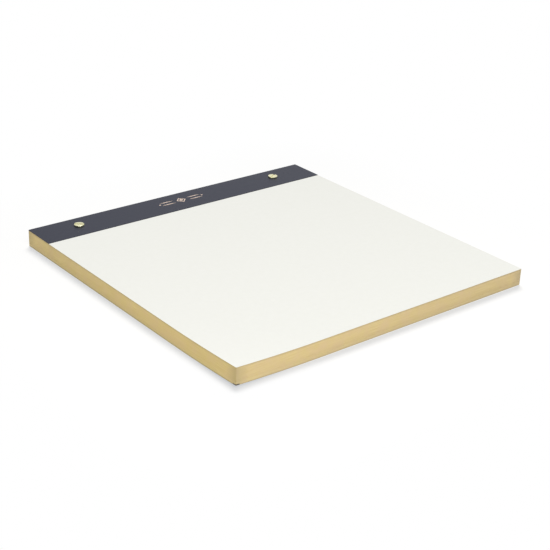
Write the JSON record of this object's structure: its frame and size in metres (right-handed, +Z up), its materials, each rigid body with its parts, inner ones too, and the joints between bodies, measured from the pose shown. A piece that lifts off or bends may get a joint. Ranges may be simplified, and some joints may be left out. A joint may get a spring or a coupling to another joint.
{
  "type": "notepad",
  "caption": "Thick square notepad: a block of cream sheets with gilt edges on a backing board, and a thin dark navy strip across the head, clamped by brass posts with slotted screws.",
  "frame": {"origin": "middle of the underside, on the surface that the pad lies on", "axes": "+X along the head from left to right, +Y towards the head with its strip, +Z up through the sheets"},
  "size_m": [0.254, 0.254, 0.0143],
  "materials": {
    "cream_paper": "uncoated writing paper, edges gilt",
    "grey_board": "unlined greyboard, edges gilt",
    "navy_strip": "dyed cover stock, calendered smooth",
    "brass": "turned and polished"
  },
  "bodies": {
    "root": {"page_block": "cream_paper", "backing_board": "grey_board", "header_strip": "navy_strip", "binding_posts": "brass", "binding_screws": "brass"}
  },
  "joints": []
}
